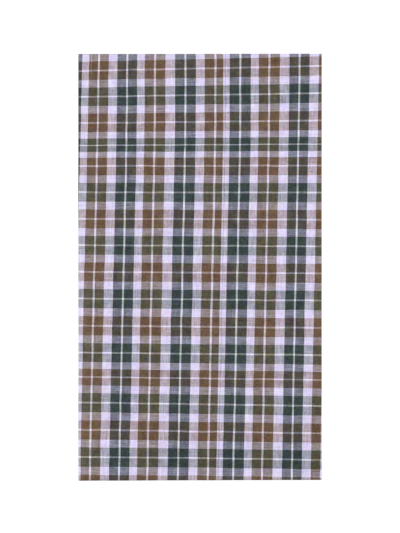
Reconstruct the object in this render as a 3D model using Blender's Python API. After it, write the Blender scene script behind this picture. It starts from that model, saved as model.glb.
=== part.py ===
import math

import bmesh
import bpy

# A longyi: a checked cotton cloth sewn into a tube, laid flat, folded in thirds across and then in half.
# +X runs across the folded cloth, +Y towards the half fold and +Z up. The origin is under its middle.
# Sizes are in metres.
TUBE_HEIGHT = 1.143  # the loom width, selvage to selvage
FOLDED_WIDTH = 0.324  # a third of the flat tube
FOLDED_THICKNESS = 0.009  # twelve layers, lying loosely
WALL = 0.001  # the outer sheet
GAP = 0.0003  # clearance between pieces
EDGE_STAGGER = 0.0015  # how far the hidden layers stop short of the outer sheet's open edges

# The tube is folded over its own thickness, so the outer sheet spends a half turn at the fold.
FOLD_RADIUS = FOLDED_THICKNESS / 2
FOLDED_LENGTH = (TUBE_HEIGHT - math.pi * FOLD_RADIUS) / 2 + FOLD_RADIUS
OPEN_EDGE = -FOLDED_LENGTH / 2
FOLD_AXIS = FOLDED_LENGTH / 2 - FOLD_RADIUS
SIDE = FOLDED_WIDTH / 2

# The side loops, by how deep each reaches below the outer face. The left one holds all of its half's layers
# and the right one holds the first four.
LEFT_LOOP = FOLD_RADIUS - GAP / 2
RIGHT_LOOP = 0.0032
TURNED_UNDER = 0.015  # how far the outer sheet runs on under each side loop
SMALL_FOLD_GROOVE = 0.004  # how far the groove between the two small folds reaches in

# The seam: the right-hand sheet's end lies over the left-hand one's.
SEAM_AT_FOLD = 0.0309
SEAM_LEAN = 0.0121  # how far it leans left on the upper half, over a whole length, below its bend
SEAM_BEND = 0.2  # where it starts to lean, as a share of the folded length
SEAM_BEND_EASE = 0.05
UNDER_LEAN = 0.0096  # how far it drifts right over the lower half
LAP = 0.0094
STEP = WALL + GAP  # how far the left sheet steps down, at 45 degrees, to pass under the lap
MITRE = math.tan(math.pi / 8)  # a 45 degree bend sets back the face below it by this share of its depth

STRETCHES = 6  # along each flat half
TURNS = 10  # round the half fold
LOOP_TURNS = 8  # round each side loop
LEAST_DISTANCE = 1e-7  # points nearer than this are one point

# The hidden layers' edges at the open end
HIDDEN_LAYERS = 10
GROOVE_WIDTH = 0.0003
GROOVE_DEPTH = 0.0012

CLOTH_COLOUR = (0.25, 0.23, 0.25, 1.0)  # the whole check's average
CLOTH_ROUGHNESS = 0.9


# Stations along the sheet, from the upper open edge over the fold to the lower one. Each holds how far along
# it is, its turn about the fold's axis from straight up, and its way from the fold, which is negative above.
def stations(short=0.0):
    flat = FOLD_AXIS - OPEN_EDGE - short
    quarter = math.pi * FOLD_RADIUS / 2
    ways = [flat * i / STRETCHES for i in range(1, STRETCHES + 1)]
    upper = [(FOLD_AXIS - way, 0.0, -way - quarter) for way in reversed(ways)]
    fold = [(FOLD_AXIS, math.pi * i / TURNS, quarter * (2 * i / TURNS - 1)) for i in range(TURNS + 1)]
    lower = [(FOLD_AXIS - way, math.pi, way + quarter) for way in ways]
    return upper + fold + lower


# Where the lap's edge crosses a station.
def seam_at(way):
    down = -(way + math.pi * FOLD_RADIUS / 2 - FOLD_RADIUS) / FOLDED_LENGTH
    past = down - SEAM_BEND
    lean = SEAM_LEAN * (math.hypot(past, SEAM_BEND_EASE) + past) / 2
    return SEAM_AT_FOLD - lean + UNDER_LEAN * max(way, 0.0) / (TUBE_HEIGHT / 2)


# A point at x across, at a depth below the outer face.
def place(station, x, depth):
    along, turn, _ = station
    radius = FOLD_RADIUS - depth
    return (x, along + radius * math.sin(turn), FOLD_RADIUS + radius * math.cos(turn))


# A half round in the section, from its top to its foot. The direction is -1 at a left edge and 1 at a right.
def half_round(side, direction, top, foot):
    radius = (foot - top) / 2
    centre = side - direction * radius
    turns = [math.pi * i / LOOP_TURNS for i in range(LOOP_TURNS + 1)]
    return [(centre + direction * radius * math.sin(t), top + radius - radius * math.cos(t)) for t in turns]


# The sheet left of the seam: its outer and inner faces across the section, from its end under the lap to its
# end under the left loop. Points are (x, depth).
def left_section(seam):
    lap_end = seam + LAP
    step_end = seam - GAP
    step_start = step_end - STEP
    foot = -SIDE + LEFT_LOOP / 2 + TURNED_UNDER
    outer = [(lap_end, STEP), (step_end, STEP), (step_start, 0.0)]
    outer += half_round(-SIDE, -1, 0.0, LEFT_LOOP)
    outer += [(foot, LEFT_LOOP)]
    setback = MITRE * WALL
    inner = [(lap_end, STEP + WALL), (step_end - setback, STEP + WALL), (step_start - setback, WALL)]
    inner += half_round(-SIDE + WALL, -1, WALL, LEFT_LOOP - WALL)
    inner += [(foot, LEFT_LOOP - WALL)]
    return outer, inner


# The sheet right of the seam, from the lap's edge to its end under the right loop.
def right_section(seam):
    foot = SIDE - RIGHT_LOOP / 2 - TURNED_UNDER
    outer = [(seam, 0.0)] + half_round(SIDE, 1, 0.0, RIGHT_LOOP) + [(foot, RIGHT_LOOP)]
    inner = [(seam, WALL)] + half_round(SIDE - WALL, 1, WALL, RIGHT_LOOP - WALL) + [(foot, RIGHT_LOOP - WALL)]
    return outer, inner


# One half of the hidden layers, from the mid-plane on the left round to the right. A tongue fills each side
# loop, a trough takes the seam, and a small fold of the tube lies under the right loop.
def inner_section(seam):
    left_slot = -SIDE + LEFT_LOOP / 2 + TURNED_UNDER + GAP
    right_slot = SIDE - RIGHT_LOOP / 2 - TURNED_UNDER - GAP
    step_end = seam - GAP - MITRE * STEP
    trough_end = seam + LAP + GAP
    points = [(left_slot, FOLD_RADIUS), (left_slot, LEFT_LOOP - STEP)]
    points += half_round(-SIDE + STEP, -1, STEP, LEFT_LOOP - STEP)[::-1]
    points += [(step_end - STEP, STEP), (step_end, 2 * STEP), (trough_end, 2 * STEP), (trough_end, STEP)]
    points += half_round(SIDE - STEP, 1, STEP, RIGHT_LOOP - STEP)
    points += [(right_slot, RIGHT_LOOP - STEP), (right_slot, RIGHT_LOOP + GAP)]
    points += half_round(SIDE - STEP, 1, RIGHT_LOOP + GAP, FOLD_RADIUS - GAP / 2)
    points += [(SIDE - STEP - SMALL_FOLD_GROOVE, FOLD_RADIUS)]
    return points


# A sheet carried over the fold, closed at its two open edges.
def carried_sheet(section):
    shape = bmesh.new()
    rings = []
    for station in stations():
        outer, inner = section(seam_at(station[2]))
        rings.append([shape.verts.new(place(station, *point)) for point in outer + inner[::-1]])
    for ring, following in zip(rings, rings[1:]):
        for i in range(len(ring)):
            shape.faces.new((ring[i - 1], ring[i], following[i], following[i - 1]))
    for ring in (rings[0], rings[-1]):
        for i in range(len(ring) // 2 - 1):
            shape.faces.new((ring[i], ring[i + 1], ring[-2 - i], ring[-1 - i]))
    bmesh.ops.recalc_face_normals(shape, faces=shape.faces)
    return shape


# A solid carried over the fold: its two halves join on the mid-plane, and one face closes the open end.
def carried_solid(section):
    shape = bmesh.new()
    rows = []
    for station in stations(EDGE_STAGGER):
        rows.append([shape.verts.new(place(station, *point)) for point in section(seam_at(station[2]))])
    for row, following in zip(rows, rows[1:]):
        for i in range(1, len(row)):
            shape.faces.new((row[i - 1], row[i], following[i], following[i - 1]))
    bmesh.ops.remove_doubles(shape, verts=shape.verts, dist=LEAST_DISTANCE)
    bmesh.ops.holes_fill(shape, edges=[edge for edge in shape.edges if edge.is_boundary], sides=0)
    bmesh.ops.triangulate(shape, faces=shape.faces, ngon_method="EAR_CLIP")
    bmesh.ops.recalc_face_normals(shape, faces=shape.faces)
    return shape


# Three-sided bars across the open end, one between each hidden layer and the next.
def groove_bars():
    shape = bmesh.new()
    end = OPEN_EDGE + EDGE_STAGGER
    outside = end - GROOVE_DEPTH
    pitch = (FOLDED_THICKNESS - 2 * STEP) / HIDDEN_LAYERS
    for i in range(1, HIDDEN_LAYERS):
        level = STEP + pitch * i
        corners = [(outside, level - GROOVE_WIDTH), (outside, level + GROOVE_WIDTH)]
        corners += [(end + GROOVE_DEPTH, level)]
        left = [shape.verts.new((-SIDE, y, z)) for y, z in corners]
        right = [shape.verts.new((SIDE, y, z)) for y, z in corners]
        shape.faces.new(left)
        shape.faces.new(right)
        for j in range(len(corners)):
            shape.faces.new((left[j - 1], left[j], right[j], right[j - 1]))
    bmesh.ops.recalc_face_normals(shape, faces=shape.faces)
    return shape


def add_piece(name, shape):
    mesh = bpy.data.meshes.new(name)
    shape.to_mesh(mesh)
    shape.free()
    piece = bpy.data.objects.new(name, mesh)
    bpy.context.scene.collection.objects.link(piece)
    return piece


def give_cloth(piece):
    material = bpy.data.materials.new(piece.name)
    material.use_nodes = True
    principled = material.node_tree.nodes["Principled BSDF"]
    principled.inputs["Base Color"].default_value = CLOTH_COLOUR
    principled.inputs["Roughness"].default_value = CLOTH_ROUGHNESS
    principled.inputs["Metallic"].default_value = 0.0
    piece.data.materials.append(material)


for old in list(bpy.data.objects):
    bpy.data.objects.remove(old)

give_cloth(add_piece("outer_left", carried_sheet(left_section)))
give_cloth(add_piece("outer_right", carried_sheet(right_section)))

inner = add_piece("inner_layers", carried_solid(inner_section))
give_cloth(inner)
bars = add_piece("groove_bars", groove_bars())
bars.hide_render = True
bars.display_type = "WIRE"
grooves = inner.modifiers.new("layer_edges", "BOOLEAN")
grooves.operation = "DIFFERENCE"
grooves.object = bars
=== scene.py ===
import math

import bmesh
import bpy
from mathutils import Matrix, Vector, noise


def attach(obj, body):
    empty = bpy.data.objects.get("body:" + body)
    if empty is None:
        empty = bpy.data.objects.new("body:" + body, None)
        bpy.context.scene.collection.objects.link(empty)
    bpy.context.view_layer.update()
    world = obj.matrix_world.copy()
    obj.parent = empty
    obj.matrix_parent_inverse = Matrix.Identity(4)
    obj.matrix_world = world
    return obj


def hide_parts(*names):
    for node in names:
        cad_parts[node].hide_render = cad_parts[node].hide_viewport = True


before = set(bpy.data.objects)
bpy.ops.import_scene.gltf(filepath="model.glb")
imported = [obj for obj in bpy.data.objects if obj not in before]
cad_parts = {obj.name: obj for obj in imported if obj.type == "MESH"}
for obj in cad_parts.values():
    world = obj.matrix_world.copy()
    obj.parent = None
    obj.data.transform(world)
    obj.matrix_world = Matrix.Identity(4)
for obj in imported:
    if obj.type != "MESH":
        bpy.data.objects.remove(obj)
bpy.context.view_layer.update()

# A checked cotton longyi: a tube of cloth laid flat, folded in thirds across and then in half.
# +X runs across the folded cloth, +Y towards the half fold, +Z up. Sizes are in metres.
packet = {
    "tubeHeight": 1.143,  # selvage to selvage
    "width": 0.324,
    "thickness": 0.009,  # twelve layers, lying loosely
    "cloth": 0.00032,  # thickness of the cloth
    "innermost": 0.00424,  # depth of the sixth layer of each half
    "leftFoot": -0.1448,  # where the outer sheet ends, under its left loop
    "rightFoot": 0.1454,
    "footGap": 0.0002,
    "smallFoldIn": 0.0014,  # how far the tube's own fold stops short on the right
    "settle": 0.075,  # the share of its thickness that the middle has settled
    "loopReach": 0.013,  # how far in from a side the loops hold the cloth up
    "noseReach": 0.024,
    "squareness": 0.8,  # of the corners at the half fold
    "sideWander": 0.00012,
    "sideWanderLength": 0.07,
    "sideWanderDepth": 0.005,
    "leftBulge": 0.00016,  # the left side bulges this far near the half fold, and the right one all along
    "leftBulgeFrom": (0.02, 0.1),
    "rightBulge": 0.00009,
    "bulgePower": 6,  # the bulge keeps to the sides
    "foldSlant": 0.0005,  # the right end of the half fold reaches this far beyond the left one's
    "foldSlantReach": 0.15,
    "lean": 0.0121,  # the threads lean left on the upper half, over a whole length, below their bend
    "leanFrom": 0.2,
    "leanEase": 0.05,
    "underLean": 0.0096,
    "rowLength": 0.0055,
    "noseRows": 14,
}
radius = packet["thickness"] / 2
quarterTurn = math.pi * radius / 2
foldedLength = (packet["tubeHeight"] - math.pi * radius) / 2 + radius
openEdge = -foldedLength / 2
foldAxis = foldedLength / 2 - radius
side = packet["width"] / 2
outermost = packet["cloth"] / 2
layerPitch = (packet["innermost"] - outermost) / 5

# The open end, where the layers lie loosely and each ends a little differently.
openEnd = {
    "reach": 0.055,  # how far in it reaches
    "short": 0.00062,
    "slant": 0.00055,
    "hiddenShort": 0.0013,  # how far short the hidden layers stop, and by how much that varies
    "hiddenVaries": 0.0007,
    "edgeVaries": 0.00012,
    "hiddenRise": 0.00018,
    "waveLength": 0.05,
    "edgeGrain": 1.7,  # finer than the waves
    "riseGrain": 1.3,
    "layerChange": 2.3,
    "halves": (5.0, 9.0),  # where the upper and the lower half lie in the noise
    "ripple": 0.0004,
    "rippleLength": 0.045,
    "rippleSink": 0.2,
}

# Soft troughs and ridges left by handling: centre x, centre y, heading, half length, half width, height.
creases = [
    (-0.075, 0.150, 8, 0.120, 0.016, -0.00032),
    (0.060, 0.095, -14, 0.090, 0.012, 0.00022),
    (-0.020, -0.035, 78, 0.150, 0.020, -0.00036),
    (0.105, -0.120, 62, 0.110, 0.014, 0.00026),
    (-0.110, -0.165, -6, 0.080, 0.011, -0.00028),
    (0.030, -0.215, 12, 0.130, 0.018, 0.00030),
    (-0.045, 0.245, -4, 0.100, 0.010, 0.00016),
    (0.125, 0.190, 84, 0.070, 0.013, -0.00024),
]


def ease(value, start, end):
    part = min(max((value - start) / (end - start), 0.0), 1.0)
    return part * part * (3 - 2 * part)


def layerDepth(layer):
    return outermost + layerPitch * (layer - 1)


# How far down from the fold a row's threads lie, as a share of the folded length, which is negative below it.
def shareDown(way):
    return -(way + quarterTurn - radius) / foldedLength


def leanAt(way):
    past = shareDown(way) - packet["leanFrom"]
    left = packet["lean"] * (math.hypot(past, packet["leanEase"]) + past) / 2
    return packet["underLean"] * max(way, 0.0) / (packet["tubeHeight"] / 2) - left


def creaseAt(x, y):
    height = 0.0
    for middleX, middleY, heading, length, width, rise in creases:
        turn = math.radians(heading)
        dx, dy = x - middleX, y - middleY
        along = (dx * math.cos(turn) + dy * math.sin(turn)) / length
        across = (dy * math.cos(turn) - dx * math.sin(turn)) / width
        height += rise * math.exp(-along * along - across * across)
    return height


# The side loops reach out nearly as far as the face does where they go round the half fold.
def cornerStretch(x):
    deepest = layerDepth(4 if x > 0 else 6)
    bend = (deepest - outermost) / 2
    beyond = min(max((abs(x) - side + outermost + bend) / bend, 0.0), 1.0)
    reach = radius - outermost - bend + bend * math.sqrt(1 - beyond * beyond)
    return 1 + packet["squareness"] * ((radius - outermost) / reach - 1)


# A point of the cloth, from its way along the tube, its place across and its depth below the outer face.
# The way is 0 on the half fold's crest and negative on the upper half. The cloth's end draws back from the
# open edge between the two depths of its recess.
def layOnFold(way, x, depth, recess):
    turn = min(max(way / radius + math.pi / 2, 0.0), math.pi)
    along = foldAxis - max(abs(way) - quarterTurn, 0.0)
    reach = radius - depth
    y = along + reach * math.sin(turn) * cornerStretch(x)
    z = radius + reach * math.cos(turn)
    y += packet["foldSlant"] / 2 * x / side * ease(y, foldAxis - packet["foldSlantReach"], foldAxis)
    loose = ease(openEdge + openEnd["reach"] - y, 0.0, openEnd["reach"])
    if loose > 0:
        hidden = ease(depth, *recess)
        half = openEnd["halves"][0 if way < 0 else 1]
        spot = Vector((x / openEnd["waveLength"], depth / layerPitch * openEnd["layerChange"], half))
        short = hidden * (openEnd["hiddenShort"] + openEnd["hiddenVaries"] * noise.noise(spot))
        short += openEnd["edgeVaries"] * noise.noise(spot * openEnd["edgeGrain"])
        y += loose * (short + openEnd["short"] + openEnd["slant"] * x / side)
        z += loose * openEnd["hiddenRise"] * noise.noise(spot * openEnd["riseGrain"]) * hidden
    held = 1 - (1 - math.exp(-(side - abs(x)) / packet["loopReach"])) * (
        1 - math.exp(-(foldedLength / 2 - y) / packet["noseReach"])
    )
    lift = -packet["settle"] * packet["thickness"] * (1 - held) + creaseAt(x, y) * (1 - held)
    ripple = noise.noise(Vector((x / openEnd["rippleLength"], 1.5, 0.0))) - openEnd["rippleSink"]
    lift += loose * openEnd["ripple"] * ripple * (1 - held)
    z += lift * max(z - outermost, 0.0) / (packet["thickness"] - 2 * outermost)
    spot = (math.copysign(3.0, x), y / packet["sideWanderLength"], z / packet["sideWanderDepth"])
    wander = packet["sideWander"] * noise.noise(Vector(spot))
    bulge = packet["leftBulge"] * ease(y, *packet["leftBulgeFrom"]) if x < 0 else packet["rightBulge"]
    return (x * (1 + (bulge - wander) / side * (x / side) ** packet["bulgePower"]), y, z)


# Rows along the tube, from the upper selvage over the half fold to the lower one.
def rowWays(length):
    flat = packet["tubeHeight"] / 2 - quarterTurn
    count = round(flat / length)
    lower = [quarterTurn + flat * (i / count) for i in range(count + 1)]
    nose = [quarterTurn * (2 * i / packet["noseRows"] - 1) for i in range(1, packet["noseRows"])]
    return [-way for way in reversed(lower)] + nose + lower


# The check. Widths run left to right, and down from the half fold, to the nearest 0.05 mm.
check = {
    "uprights": [
        ("brown", 0.01245), ("warmWhite", 0.0026), ("brown", 0.01245), ("lilac", 0.01215),
        ("green", 0.01235), ("coolWhite", 0.00245), ("green", 0.01235), ("lilac", 0.01035),
        ("brown", 0.01245), ("warmWhite", 0.0026), ("brown", 0.01265), ("lilac", 0.0128),
        ("green", 0.01235), ("coolWhite", 0.00245), ("green", 0.01235), ("lilac", 0.01155),
    ],
    "crosses": [
        ("brown", 0.01135), ("warmWhite", 0.0023), ("brown", 0.01135), ("lilac", 0.01025),
        ("green", 0.0115), ("coolWhite", 0.0022), ("green", 0.0115), ("lilac", 0.01055),
    ],
    "firstCross": 0.0075,  # from the fold to where the first brown band starts
    # how the threads lie on the face: the sheets left and right of the seam are stretched differently
    "left": {"level": -0.0062, "slope": -0.0043, "curve": -0.0082, "twist": 0.0004},
    "right": {"level": 0.0025, "slope": -0.0116, "curve": 0.0078, "twist": -0.0008},
    "edgeDrift": 0.0040,
    "edgeDriftEase": 0.2,
    # from where it is crowded or stretched at the sides, and by how much
    "outermost": {"left": (0.1564, 0.21), "right": (0.1448, -0.10)},
    # the outermost strips narrow towards the open end
    "pinch": {"left": (0.147, 0.1), "right": (0.1564, 0.035)},
    "pinchFrom": 0.6,
    "endStretch": 0.0018,  # the cloth is a little longer at the open end on the left
    "endStretchFrom": 0.86,
    "fan": 0.0127,  # the crosses rise to the right at the fold and fall below it
    "fanTurn": 0.284,
    "fanBelow": 0.0044,
    "fanUnder": 2.5,  # how fast it fades on the underside
    "fanWidest": 1.15,  # beyond this share of the half width it rises no more
    # where the weft is beaten closer: extra threads, middle, half length
    "crowded": [
        (0.0124, 0.1248, 0.0217), (0.0052, 0.4270, 0.0207),
        (-0.0042, 0.4094, 0.1537), (-0.0009, 0.5606, 0.0200),
    ],
}
uprightRepeat = sum(width for _, width in check["uprights"])

# The seam that closes the tube: the right sheet's end is turned under and lapped over the left one.
seam = {
    "atFold": 0.0309,
    "lap": 0.0094,
    "hem": 0.0064,  # how much is turned under
    "ply": 0.00034,  # spacing of the cloths in the lap
    "ridge": 0.00045,  # how far the lap stands proud on the upper half
    "ridgeFrom": (0.006, 0.05),  # below the half fold
    "ridgeEase": 0.014,
    "stitchIn": 0.00295,  # from the lap's edge to the stitches
    "dip": 0.00018,  # how far they pull it in
    "dipWidth": 0.0008,
    "press": 0.00038,  # how far the second layer gives way below it
    "pressLeft": (-0.008, -0.001),
    "pressRight": (0.0105, 0.018),
}


def seamAt(way):
    return seam["atFold"] + leanAt(way)


# Depth of the lapped sheet near the seam.
def lapDepth(way, x):
    inward = x - seamAt(way)
    ridge = seam["ridge"] * ease(-way, *seam["ridgeFrom"])
    ridge *= 1 - ease(inward, seam["lap"], seam["lap"] + seam["ridgeEase"])
    dip = seam["dip"] * math.exp(-(((inward - seam["stitchIn"]) / seam["dipWidth"]) ** 2))
    return outermost - ridge + dip


# The upright threads' place in the check for a point on the outer face.
def uprightThread(sheet, way, x):
    share = shareDown(way)
    across = x / side
    lie = check[sheet]
    drift = math.copysign(1 - math.exp(-abs(share) / check["edgeDriftEase"]), share)
    drift *= check["edgeDrift"] * across * across
    stretch = lie["level"] + lie["slope"] * across + lie["curve"] * across * across
    thread = x + stretch + lie["twist"] * share + drift - leanAt(way)
    start, crowding = check["outermost"][sheet]
    outside = crowding * max(abs(thread) - start, 0.0)
    start, crowding = check["pinch"][sheet]
    outside += crowding * ease(share, check["pinchFrom"], 1.0) * max(abs(thread) - start, 0.0)
    return thread + (outside if thread > 0 else -outside)


# The cross threads' place in the check, and how crowded they are.
def crossThread(way, x):
    share = shareDown(way)
    past = share - check["fanTurn"]
    fan = (check["fan"] if past < 0 else check["fanBelow"]) * past
    fan *= math.exp(min(check["fanUnder"] * share, 0.0))
    down = share * foldedLength - fan * max(min(x / side, check["fanWidest"]), -check["fanWidest"])
    down -= check["endStretch"] * ease(share, check["endStretchFrom"], 1.0) * min(max(-x / side, 0.0), 1.0)
    place, crowding = down - check["firstCross"], 0.0
    for extra, middle, reach in check["crowded"]:
        part = min(max((down - middle + reach) / (2 * reach), 0.0), 1.0)
        place += extra * part * part * (3 - 2 * part)
        crowding += extra * 6 * part * (1 - part) / (2 * reach)  # its slope
    return place, crowding


def spread(start, end, count):
    return [start + (end - start) * i / count for i in range(count + 1)]


def reachOf(first, second):
    return math.hypot(second[0] - first[0], second[1] - first[1])


# A half turn at a side, from one depth to another. The direction is -1 at a left edge and 1 at a right.
def halfTurn(middle, direction, start, end, turns):
    bend = abs(end - start) / 2
    points = []
    for i in range(1, turns):
        turn = math.pi * i / turns
        depth = (start + end) / 2 + (start - end) / 2 * math.cos(turn)
        points.append((middle + direction * bend * math.sin(turn), depth))
    return points


leftLoop = -side + outermost + (layerDepth(6) - layerDepth(1)) / 2  # the middles of the side loops
rightLoop = side - outermost - (layerDepth(4) - layerDepth(1)) / 2
smallFold = side - packet["smallFoldIn"] - outermost - layerPitch / 2


def threadsAcross(points, faceStart, faceEnd, threadAt):
    threads = [0.0] * len(points)
    for i in range(faceStart, faceEnd + 1):
        threads[i] = threadAt(points[i][0])
    way = math.copysign(1.0, threads[faceEnd] - threads[faceStart])
    for i in range(faceEnd + 1, len(points)):
        threads[i] = threads[i - 1] + way * reachOf(points[i - 1], points[i])
    for i in range(faceStart - 1, -1, -1):
        threads[i] = threads[i + 1] - way * reachOf(points[i], points[i + 1])
    return threads


# Each row function gives, for every column, x, depth, upright thread, cross thread and crowding.
def finishRow(way, points, threads, faceStart, faceEnd, beyond):
    unrolled = [0.0] * len(points)
    for i in range(faceStart, faceEnd + 1):
        unrolled[i] = points[i][0]
    for i in range(faceEnd + 1, len(points)):
        unrolled[i] = unrolled[i - 1] + beyond * reachOf(points[i - 1], points[i])
    for i in range(faceStart - 1, -1, -1):
        unrolled[i] = unrolled[i + 1] - beyond * reachOf(points[i], points[i + 1])
    return [(*point, thread, *crossThread(way, x)) for point, thread, x in zip(points, threads, unrolled)]


leftSheet = {
    "name": "outer left sheet",
    "cut": (0.2220, 1.143),  # across and along the tube
    "recess": (0.0009, 0.0035),  # its loop's end draws back to the hidden layers' ends
    "underLap": 5,  # columns
    "easedIn": 6,
    "face": 36,
    "loop": 20,
    "foot": 3,
    "stepIn": 0.0008,  # the step down to the lap starts this far under it
    "stepWidth": 0.0035,
}


def leftRow(way):
    lapEdge = seamAt(way)
    stepStart = lapEdge + leftSheet["stepIn"]
    stepEnd = lapEdge - leftSheet["stepWidth"]
    underLap = spread(lapEdge + seam["lap"], stepStart, leftSheet["underLap"])
    points = [(x, lapDepth(way, x) + 2 * seam["ply"]) for x in underLap]
    top, low = layerDepth(1), points[-1][1]
    for x in spread(stepStart, stepEnd, leftSheet["easedIn"])[1:]:
        risen = ease(stepStart - x, 0.0, leftSheet["stepIn"] + leftSheet["stepWidth"])
        points.append((x, top + (low - top) * (1 - risen)))
    points += [(x, top) for x in spread(points[-1][0], leftLoop, leftSheet["face"])[1:]]
    faceEnd = len(points) - 1
    points += halfTurn(leftLoop, -1, layerDepth(1), layerDepth(6), leftSheet["loop"])
    points += [(x, layerDepth(6)) for x in spread(leftLoop, packet["leftFoot"], leftSheet["foot"])]
    threads = threadsAcross(points, 0, faceEnd, lambda x: uprightThread("left", way, x))
    return finishRow(way, points, threads, 0, faceEnd, -1)


rightSheet = {
    "name": "outer right sheet",
    "cut": (0.1547, 1.143),
    "recess": (0.0009, 0.0026),
    "hem": 6,  # columns
    "turn": 6,
    "nearStitch": [
        0.0012, 0.0018, 0.0023, 0.0027, 0.0030, 0.0033, 0.0037, 0.0042,
        0.0048, 0.0060, 0.0078, 0.0095, 0.0120, 0.0150, 0.0190, 0.0235,
    ],
    "face": 22,
    "loop": 16,
    "foot": 3,
}


def rightRow(way):
    lapEdge = seamAt(way)
    bend = lapEdge + outermost + seam["ply"] / 2
    hem = spread(lapEdge + seam["hem"], bend, rightSheet["hem"])
    points = [(x, lapDepth(way, x) + seam["ply"]) for x in hem]
    top = lapDepth(way, bend)
    points += halfTurn(bend, -1, points[-1][1], top, rightSheet["turn"])
    faceStart = len(points)
    near = [bend] + [lapEdge + inward for inward in rightSheet["nearStitch"]]
    near += spread(near[-1], rightLoop, rightSheet["face"])[1:]
    points += [(x, lapDepth(way, x)) for x in near]
    faceEnd = len(points) - 1
    points += halfTurn(rightLoop, 1, layerDepth(1), layerDepth(4), rightSheet["loop"])
    points += [(x, layerDepth(4)) for x in spread(rightLoop, packet["rightFoot"], rightSheet["foot"])]
    threads = threadsAcross(points, faceStart, faceEnd, lambda x: uprightThread("right", way, x))
    return finishRow(way, points, threads, faceStart, faceEnd, 1)


innerSheet = {
    "name": "inner folded sheet",
    "cut": (1.5776, 1.143),
    "recess": (0.0, 0.0009),
    "rowLength": 0.0085,
    "layer": 22,  # columns
    "loop": 12,
    "smallTurn": 8,
    "nearSeam": [-0.0080, -0.0040, -0.0015, 0.0010, 0.0050, 0.0092, 0.0112, 0.0140, 0.0180],
    "smallFoldGap": 0.0002,
}


def innerRow(way):
    lapEdge = seamAt(way)
    count = innerSheet["layer"]
    innerLoop = smallFold - innerSheet["smallFoldGap"]
    points = [(x, layerDepth(6)) for x in spread(packet["leftFoot"] + packet["footGap"], innerLoop, count)]
    points += halfTurn(innerLoop, 1, layerDepth(6), layerDepth(5), innerSheet["smallTurn"])
    points += [(x, layerDepth(5)) for x in spread(innerLoop, leftLoop, count)]
    points += halfTurn(leftLoop, -1, layerDepth(5), layerDepth(2), innerSheet["loop"])
    beside = [lapEdge + inward for inward in innerSheet["nearSeam"]]
    second = spread(leftLoop, beside[0], count // 2)[:-1] + beside
    second += spread(beside[-1], rightLoop, count // 2)[1:]
    for x in second:  # the second layer gives way below the lap
        press = ease(x - lapEdge, *seam["pressLeft"]) * (1 - ease(x - lapEdge, *seam["pressRight"]))
        points.append((x, layerDepth(2) + seam["press"] * press))
    points += halfTurn(rightLoop, 1, layerDepth(2), layerDepth(3), innerSheet["smallTurn"])
    points += [(x, layerDepth(3)) for x in spread(rightLoop, leftLoop, count)]
    points += halfTurn(leftLoop, -1, layerDepth(3), layerDepth(4), innerSheet["smallTurn"])
    points += [(x, layerDepth(4)) for x in spread(leftLoop, packet["rightFoot"] - packet["footGap"], count)]
    lengths = [0.0]
    for point, following in zip(points, points[1:]):
        lengths.append(lengths[-1] + reachOf(point, following))
    # the check runs on from the left sheet's foot to the right one's, in whole repeats
    start, end = leftRow(way)[-1], rightRow(way)[-1]
    repeats = round((end[2] - start[2] + lengths[-1]) / uprightRepeat)
    change = end[2] - repeats * uprightRepeat - start[2]
    row = []
    for point, length in zip(points, lengths):
        part = length / lengths[-1]
        place = start[3] + (end[3] - start[3]) * part
        crowding = start[4] + (end[4] - start[4]) * part
        row.append((*point, start[2] + change * part, place, crowding))
    return row


# A flat grid of cloth whose points are laid on the fold.
def foldCloth(piece, rowAt, ways):
    rows = [rowAt(way) for way in ways]
    columns = len(rows[0])
    shape = bmesh.new()
    bmesh.ops.create_grid(shape, x_segments=columns - 1, y_segments=len(ways) - 1, size=1.0)
    threads = shape.loops.layers.uv.new("threads")
    crowding = shape.verts.layers.float.new("crowding")
    places = {}
    for vertex in shape.verts:
        column = round((vertex.co.x + 1) / 2 * (columns - 1))
        row = round((vertex.co.y + 1) / 2 * (len(ways) - 1))
        x, depth, upright, cross, crowded = rows[row][column]
        vertex.co = layOnFold(ways[row], x, depth, piece["recess"])
        vertex[crowding] = crowded
        places[vertex] = (upright, cross)
    for face in shape.faces:
        face.smooth = True
        for loop in face.loops:
            loop[threads].uv = places[loop.vert]
    widths = [sum(reachOf(first, second) for first, second in zip(row, row[1:])) for row in rows]
    print(f"{piece['name']}: {columns} columns, {len(ways)} rows, {sum(widths) / len(widths):.4f} m across")
    return makePiece(piece["name"], shape)


def makePiece(name, shape):
    mesh = bpy.data.meshes.new(name)
    shape.to_mesh(mesh)
    shape.free()
    piece = bpy.data.objects.new(name.replace(" ", "_"), mesh)
    bpy.context.scene.collection.objects.link(piece)
    return piece


def giveThickness(piece):
    solidify = piece.modifiers.new("cloth thickness", "SOLIDIFY")
    solidify.thickness = packet["cloth"]
    solidify.offset = 0.0
    solidify.use_rim = True


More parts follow.
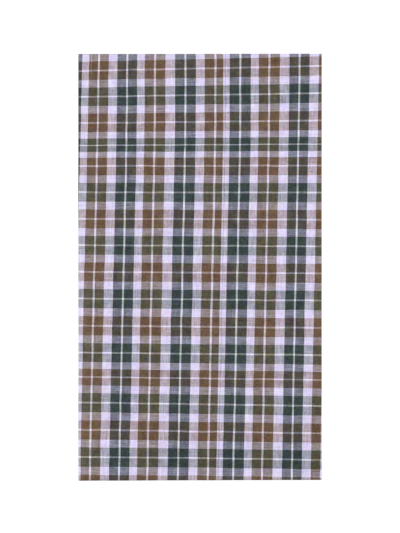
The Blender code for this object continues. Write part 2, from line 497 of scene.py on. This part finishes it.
# Shader maths: a socket that can be used in expressions.
class Wire:
    tree = None  # the node tree that is being built

    def __init__(self, socket):
        self.socket = socket

    @classmethod
    def node(cls, kind, settings=None, values=None, output=0):
        made = cls.tree.nodes.new("ShaderNode" + kind)
        for name, value in (settings or {}).items():
            setattr(made, name, value)
        for name, value in (values or {}).items():
            if isinstance(value, Wire):
                cls.tree.links.new(value.socket, made.inputs[name])
            else:
                made.inputs[name].default_value = value
        return cls(made.outputs[output])

    @classmethod
    def calc(cls, operation, *numbers):
        return cls.node("Math", {"operation": operation}, dict(enumerate(numbers)))

    def __add__(self, other):
        return Wire.calc("ADD", self, other)

    def __radd__(self, other):
        return Wire.calc("ADD", other, self)

    def __sub__(self, other):
        return Wire.calc("SUBTRACT", self, other)

    def __rsub__(self, other):
        return Wire.calc("SUBTRACT", other, self)

    def __mul__(self, other):
        return Wire.calc("MULTIPLY", self, other)

    def __rmul__(self, other):
        return Wire.calc("MULTIPLY", other, self)

    def __truediv__(self, other):
        return Wire.calc("DIVIDE", self, other)

    def stretched(self, *scales):
        return Wire.node("VectorMath", {"operation": "MULTIPLY"}, {0: self, 1: scales})

    def mottle(self, detail=2.0, roughness=0.5, output=0):
        values = {"Vector": self, "Scale": 1.0, "Detail": detail, "Roughness": roughness}
        return Wire.node("TexNoise", {}, values, output)

    def between(self, low, high):
        values = {"Value": self, "From Min": low, "From Max": high}
        return Wire.node("MapRange", {"interpolation_type": "SMOOTHSTEP"}, values)

    def scaled(self, scale):
        return Wire.node("VectorMath", {"operation": "SCALE"}, {0: self, "Scale": scale})

    def plus(self, other):
        return Wire.node("VectorMath", {"operation": "ADD"}, {0: self, 1: other})

    def wave(self, length):
        return Wire.calc("SINE", self * (2 * math.pi / length))


def mixColours(factor, first, second):
    return Wire.node("Mix", {"data_type": "RGBA"}, {0: factor, 6: first, 7: second}, 2)


def startMaterial(name):
    material = bpy.data.materials.new(name)
    material.use_nodes = True
    Wire.tree = material.node_tree
    return material, material.node_tree.nodes["Principled BSDF"]


cotton = {
    # the dyed yarns, as they show on a screen
    "uprightYarns": {
        "brown": (0.388, 0.329, 0.2605),
        "green": (0.225, 0.254, 0.2555),
        "lilac": (0.878, 0.841, 0.955),
        "warmWhite": (0.901, 0.857, 0.920),
        "coolWhite": (0.876, 0.884, 0.934),
    },
    "crossYarns": {
        "brown": (0.408, 0.3205, 0.257),
        "green": (0.230, 0.280, 0.248),
        "lilac": (0.848, 0.818, 0.961),
        "warmWhite": (0.904, 0.843, 0.923),
        "coolWhite": (0.865, 0.884, 0.931),
    },
    # the brown reads redder where it crosses itself, and the green bluer
    "brownOnBrown": (0.0102, -0.0047, -0.0024),
    "greenOnGreen": (-0.007, -0.0035, 0.006),
    "brownLead": 0.05,  # how far a brown yarn's red exceeds its blue, and a green yarn's green its red
    "greenLead": 0.02,
    "uprightShare": 0.61,  # how much of the face the upright threads cover
    "crowdedLoss": 0.20,
    # uneven spinning, weaving and dyeing: how much, and how fine across and along the upright threads
    "streaks": 0.53,
    "streakGrain": (760.0, 45.0),
    "streakRoughness": 0.6,
    "thickLight": 0.077,  # a thick thread catches more light
    "crossThickLight": 0.05,
    "slubs": 0.16,
    "slubGrain": (720.0, 190.0),
    "slubFrom": (0.66, 0.76),
    "cloudShare": 0.24,
    "cloudShareGrain": (52.0, 60.0),
    "uprightShade": 0.32,
    "crossShade": 0.46,
    "shadeGrain": (640.0, 24.0),
    "clouds": 0.105,
    "cloudGrain": (66.0, 58.0),
    "specks": 0.15,
    "speckGrain": (330.0, 330.0),
    "patches": (0.075, 0.070, 0.150),
    "patchGrain": (130.0, 130.0),
    "stray": 0.0014,
    "strayGrain": (11.0, 26.0),
    "threadPitch": 0.00036,
    "overUnder": 0.07,
    # a thread that is pulled a little proud on the left, near the fold
    "pulledAt": -0.1447,
    "pulledFrom": -0.006,
    "pulledTo": 0.0262,
    "pulledWidth": (0.0005, 0.0001),
    "pulledStarts": 0.004,  # over what length it comes up
    "pulledEnds": 0.003,
    "pulledLift": 0.24,
    "roughness": 0.88,
    "roughStreaks": 0.1,
    "bump": 0.00006,
    "bumpStrength": 0.6,
    "overUnderHeight": 0.5,
    "specular": 0.2,
    "sheen": 0.04,
    "sheenRoughness": 0.6,
    "gamma": 2.2,
}


# The yarn at a place in a chart, which repeats.
def yarnAt(place, chart, yarns):
    total = sum(width for _, width in chart)
    part = Wire.calc("FRACT", place / total)
    edge = 0.0
    yarn = (*yarns[chart[0][0]], 1.0)
    for (_, width), (name, _) in zip(chart, chart[1:]):
        edge += width
        yarn = mixColours(Wire.calc("GREATER_THAN", part, edge / total), yarn, (*yarns[name], 1.0))
    return yarn


# Painted shade: the cloth is darker towards the open end, but for its very edge, which is lighter. It is also
# a little paler along the side loops.
endShadeAndPaleness = {
    "endShade": 0.018,
    "endShadeAlong": (-0.17, openEdge + 0.02),
    "endShadeAcross": (-0.10, -0.04),
    "paleEdge": 0.040,
    "paleAlong": (openEdge + 0.0085, openEdge + 0.0045),
    "leftPale": 0.024,
    "leftFrom": (0.11, 0.03),
    "rightPale": 0.008,
    "rightFrom": (0.12, 0.06),
    "rightTo": (-0.19, -0.12),
    "paleReach": 0.036,
}


# How much lighter or darker the cloth is painted from place to place: painted shade towards the open end, and
# paler sides.
def paintedShadeAndPaleness():
    spot = Wire.node("TexCoord", {}, {}, "Object")
    x = Wire.node("SeparateXYZ", {}, {0: spot}, 0)
    y = Wire.node("SeparateXYZ", {}, {0: spot}, 1)
    # painted shade towards the open end, lighter again at the very edge, and stronger to the right
    endShade = y.between(*endShadeAndPaleness["endShadeAlong"]) * endShadeAndPaleness["endShade"]
    endShade = endShade - y.between(*endShadeAndPaleness["paleAlong"]) * endShadeAndPaleness["paleEdge"]
    endShade = endShade * x.between(*endShadeAndPaleness["endShadeAcross"])
    # paler along the side loops
    inner = side - endShadeAndPaleness["paleReach"]
    left = x.between(-inner, -side) * y.between(*endShadeAndPaleness["leftFrom"])
    right = x.between(inner, side) * y.between(*endShadeAndPaleness["rightFrom"]) * y.between(*endShadeAndPaleness["rightTo"])
    return left * endShadeAndPaleness["leftPale"] + right * endShadeAndPaleness["rightPale"] - endShade


# A shift in colour where yarns whose one channel, 0 to 2, exceeds another by a least amount cross each other.
def crossingShift(shift, yarns, more, less, least):
    mask = 1.0
    for yarn in yarns:
        high, low = (Wire.node("SeparateColor", {}, {"Color": yarn}, channel) for channel in (more, less))
        mask = Wire.calc("GREATER_THAN", high - low, least) * mask
    return Wire.node("CombineXYZ", {}, dict(enumerate(shift))).scaled(mask)


# Noise about 0, by its grain across and along the upright threads.
def uneven(threads, grain, detail=1.0, roughness=0.5):
    return threads.stretched(*grain, 1.0).mottle(detail, roughness) - 0.5


# A bright line where one thread is pulled proud.
def pulledThread(upright, cross):
    place = uprightThread("left", -quarterTurn - cotton["pulledTo"] / 2, cotton["pulledAt"])
    start, end = (cotton[name] - check["firstCross"] for name in ("pulledFrom", "pulledTo"))
    line = Wire.calc("ABSOLUTE", upright - place).between(*cotton["pulledWidth"])
    line = line * cross.between(start, start + cotton["pulledStarts"])
    return line * (1 - cross.between(end - cotton["pulledEnds"], end))


def weaveCotton():
    material, shader = startMaterial("checked cotton")
    threads = Wire.node("UVMap", {"uv_map": "threads"})
    upright = Wire.node("SeparateXYZ", {}, {0: threads}, 0)
    cross = Wire.node("SeparateXYZ", {}, {0: threads}, 1)
    crowding = Wire.node("Attribute", {"attribute_name": "crowding"}, {}, "Fac")
    # the stripes wander a little
    strayUpright = uneven(threads, cotton["strayGrain"]) * cotton["stray"]
    strayCross = uneven(threads, cotton["strayGrain"][::-1]) * cotton["stray"]
    uprightYarn = yarnAt(upright + strayUpright, check["uprights"], cotton["uprightYarns"])
    crossYarn = yarnAt(cross + strayCross, check["crosses"], cotton["crossYarns"])
    # uneven dye, thread by thread
    uprightShade = 1 + uneven(threads, cotton["shadeGrain"], 2.0) * cotton["uprightShade"]
    crossShade = 1 + uneven(threads, cotton["shadeGrain"][::-1], 2.0) * cotton["crossShade"]
    # fine streaks along each thread direction, thick slubs, and the over and under of the weave
    streak = uneven(threads, cotton["streakGrain"], 2.0, cotton["streakRoughness"])
    crossStreak = uneven(threads, cotton["streakGrain"][::-1], 2.0, cotton["streakRoughness"])
    slub = threads.stretched(*cotton["slubGrain"], 1.0).mottle(1.0).between(*cotton["slubFrom"])
    cloud = uneven(threads, cotton["cloudShareGrain"])
    overUnder = upright.wave(2 * cotton["threadPitch"]) * cross.wave(2 * cotton["threadPitch"])
    # how much of the face the upright threads cover
    share = cotton["uprightShare"] - crowding * cotton["crowdedLoss"]
    share = share + (streak - crossStreak) * cotton["streaks"] + cloud * cotton["cloudShare"]
    share = share + overUnder * cotton["overUnder"] - slub * cotton["slubs"]
    face = mixColours(share, crossYarn.scaled(crossShade), uprightYarn.scaled(uprightShade))
    yarns = (uprightYarn, crossYarn)
    face = face.plus(crossingShift(cotton["brownOnBrown"], yarns, 0, 2, cotton["brownLead"]))
    face = face.plus(crossingShift(cotton["greenOnGreen"], yarns, 1, 0, cotton["greenLead"]))
    # soft clouds, specks and patches of colour
    tone = uneven(threads, cotton["cloudGrain"]) * cotton["clouds"]
    tone = tone + uneven(threads, cotton["speckGrain"]) * cotton["specks"]
    tone = tone + streak * cotton["thickLight"] + crossStreak * cotton["crossThickLight"]
    # the tone also takes the painted shade towards the open end and the paler sides
    tone = tone + pulledThread(upright, cross) * cotton["pulledLift"] + paintedShadeAndPaleness()
    patch = threads.stretched(*cotton["patchGrain"], 1.0).mottle(1.0, 0.5, 1)
    patch = patch.plus((-0.5, -0.5, -0.5)).stretched(*cotton["patches"])
    face = face.plus(patch).plus(Wire.node("CombineXYZ", {}, {0: tone, 1: tone, 2: tone}))
    colour = Wire.node("Gamma", {}, {"Color": face, "Gamma": cotton["gamma"]})
    height = overUnder * cotton["overUnderHeight"] + streak + crossStreak
    relief = {"Strength": cotton["bumpStrength"], "Distance": cotton["bump"], "Height": height}
    bump = Wire.node("Bump", {}, relief)
    rough = cotton["roughness"] + streak * cotton["roughStreaks"]
    Wire.tree.links.new(colour.socket, shader.inputs["Base Color"])
    Wire.tree.links.new(bump.socket, shader.inputs["Normal"])
    Wire.tree.links.new(rough.socket, shader.inputs["Roughness"])
    shader.inputs["Specular IOR Level"].default_value = cotton["specular"]
    shader.inputs["Sheen Weight"].default_value = cotton["sheen"]
    shader.inputs["Sheen Roughness"].default_value = cotton["sheenRoughness"]
    return material


cottonCloth = weaveCotton()
print("cotton cloth woven")

outerLeft = foldCloth(leftSheet, leftRow, rowWays(packet["rowLength"]))
outerRight = foldCloth(rightSheet, rightRow, rowWays(packet["rowLength"]))
innerLayers = foldCloth(innerSheet, innerRow, rowWays(innerSheet["rowLength"]))
for piece in (outerLeft, outerRight, innerLayers):
    giveThickness(piece)
    piece.data.materials.append(cottonCloth)
print("sheets folded")

stitching = {
    "name": "seam stitches",
    "pitch": 0.0031,
    "length": 0.0028,
    "width": 0.0005,
    "height": 0.00026,
    "around": 8,  # faces round a stitch, and from its foot to its top
    "rings": 6,
    "fromSelvage": 0.0025,
    "sway": 0.00008,
    "swayLength": 0.006,
    # a dark grey thread, painted darker still to stand in for the shade along the stitch line's dip as well
    "colour": (0.31, 0.29, 0.32),
    # painted shade: the thread's colour is darker in the grooves between its plies
    "grooveShade": 0.8,  # in the grooves of its plies
    "plyGrain": (3000.0, 900.0, 3000.0),
    "plyFrom": (0.35, 0.65),
    "bump": 0.00005,
    "bumpStrength": 0.5,
    "roughness": 0.7,
    "specular": 0.3,
}


# A bead of thread, face by face, so that the faces always come in the same order.
def addStitch(shape, place):
    around, rings = stitching["around"], stitching["rings"]
    foot = shape.verts.new(place @ Vector((0.0, 0.0, -0.5)))
    tip = shape.verts.new(place @ Vector((0.0, 0.0, 0.5)))
    circles = []
    for j in range(1, rings):
        rise = math.pi * j / rings
        circle = []
        for k in range(around):
            turn = 2 * math.pi * k / around
            reach = math.sin(rise) / 2
            spot = Vector((reach * math.cos(turn), reach * math.sin(turn), -math.cos(rise) / 2))
            circle.append(shape.verts.new(place @ spot))
        circles.append(circle)
    for k in range(around):
        after = (k + 1) % around
        shape.faces.new((foot, circles[0][after], circles[0][k]))
        for lower, upper in zip(circles, circles[1:]):
            shape.faces.new((lower[k], lower[after], upper[after], upper[k]))
        shape.faces.new((tip, circles[-1][k], circles[-1][after]))


# Short stitches along the lap, each lying in the dip that it pulls.
def sewStitches():
    shape = bmesh.new()
    length = packet["tubeHeight"] - 2 * stitching["fromSelvage"]
    count = round(length / stitching["pitch"])
    recess = rightSheet["recess"]
    step = 0.001  # for finding which way the cloth runs and faces
    for i in range(count):
        way = -length / 2 + length * (i + 0.5) / count
        sway = stitching["sway"] * noise.noise(Vector((way / stitching["swayLength"], 2.0, 0.0)))
        x = seamAt(way) + seam["stitchIn"] + sway
        depth = lapDepth(way, x) - outermost
        middle = Vector(layOnFold(way, x, depth, recess))
        ahead = Vector(layOnFold(way + step, seamAt(way + step) + seam["stitchIn"], depth, recess))
        out = (middle - Vector(layOnFold(way, x, depth + step, recess))).normalized()
        along = (ahead - middle).normalized()
        across = along.cross(out).normalized()
        turned = Matrix((across, along, out)).transposed().to_4x4()
        sizes = Matrix.Diagonal((stitching["width"], stitching["length"], stitching["height"], 1.0))
        addStitch(shape, Matrix.Translation(middle) @ turned @ sizes)
    for face in shape.faces:
        face.smooth = True
    print(f"{count} stitches sewn")
    return makePiece(stitching["name"], shape)


def makeThread():
    material, shader = startMaterial("seam thread")
    spot = Wire.node("TexCoord", {}, {}, "Object")
    ply = spot.stretched(*stitching["plyGrain"]).mottle(2.0)
    # painted shade darkens the thread's colour in the grooves between its plies
    dark = tuple(part * stitching["grooveShade"] for part in stitching["colour"])
    shade = mixColours(ply.between(*stitching["plyFrom"]), (*dark, 1.0), (*stitching["colour"], 1.0))
    colour = Wire.node("Gamma", {}, {"Color": shade, "Gamma": cotton["gamma"]})
    relief = {"Strength": stitching["bumpStrength"], "Distance": stitching["bump"], "Height": ply}
    bump = Wire.node("Bump", {}, relief)
    Wire.tree.links.new(colour.socket, shader.inputs["Base Color"])
    Wire.tree.links.new(bump.socket, shader.inputs["Normal"])
    shader.inputs["Roughness"].default_value = stitching["roughness"]
    shader.inputs["Specular IOR Level"].default_value = stitching["specular"]
    return material


stitches = sewStitches()
stitches.data.materials.append(makeThread())

for piece, node, slot in (
    (outerLeft, "outer_left", "outer_sheet_left"),
    (outerRight, "outer_right", "outer_sheet_right"),
    (innerLayers, "inner_layers", "hidden_layers"),
):
    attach(piece, "root")
    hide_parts(node)
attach(stitches, "root")

studio = {
    "floorSize": 40.0,
    "floorDrop": 0.0002,
    "floorColour": 0.25,
    "floorGlow": 0.87,
    "sky": 0.61,
    "lampPower": 45.0,
    "lampWidth": 2.5,
    "lampHeight": 3.0,
    "lampY": 0.35,  # towards the fold
    "lensLength": 0.135,
    "sensor": 0.036,
    "frameHeight": 0.71067,  # what the picture's height takes in, at the side loops' middles
    "aimY": 0.00087,
}


def setStudio():
    shape = bmesh.new()
    bmesh.ops.create_grid(shape, x_segments=4, y_segments=4, size=studio["floorSize"] / 2)
    bmesh.ops.translate(shape, verts=shape.verts, vec=(0.0, 0.0, -studio["floorDrop"]))
    floor = makePiece("floor", shape)
    material, shader = startMaterial("pale floor")
    shader.inputs["Base Color"].default_value = (*[studio["floorColour"]] * 3, 1.0)
    shader.inputs["Roughness"].default_value = 1.0
    shader.inputs["Specular IOR Level"].default_value = 0.0
    shader.inputs["Emission Color"].default_value = (1.0, 1.0, 1.0, 1.0)
    shader.inputs["Emission Strength"].default_value = studio["floorGlow"]
    floor.data.materials.append(material)

    world = bpy.data.worlds.new("soft white")
    world.use_nodes = True
    background = world.node_tree.nodes["Background"]
    background.inputs["Color"].default_value = (1.0, 1.0, 1.0, 1.0)
    background.inputs["Strength"].default_value = studio["sky"]
    bpy.context.scene.world = world
    bpy.context.scene.view_settings.view_transform = "Standard"

    light = bpy.data.lights.new("soft lamp", "AREA")
    light.size = studio["lampWidth"]
    light.energy = studio["lampPower"]
    lamp = bpy.data.objects.new("soft lamp", light)
    lamp.location = (0.0, studio["lampY"], studio["lampHeight"])
    lamp.rotation_euler = (-math.atan2(studio["lampY"], studio["lampHeight"]), 0.0, 0.0)
    bpy.context.scene.collection.objects.link(lamp)

    camera = bpy.data.cameras.new("camera")
    camera.lens = studio["lensLength"] * 1000
    camera.sensor_width = studio["sensor"] * 1000
    camera.clip_end = 50.0
    viewer = bpy.data.objects.new("camera", camera)
    bpy.context.scene.collection.objects.link(viewer)
    distance = studio["frameHeight"] * studio["lensLength"] / studio["sensor"]
    viewer.location = (0.0, studio["aimY"], radius + distance)
    bpy.context.scene.camera = viewer


setStudio()
print("studio set")
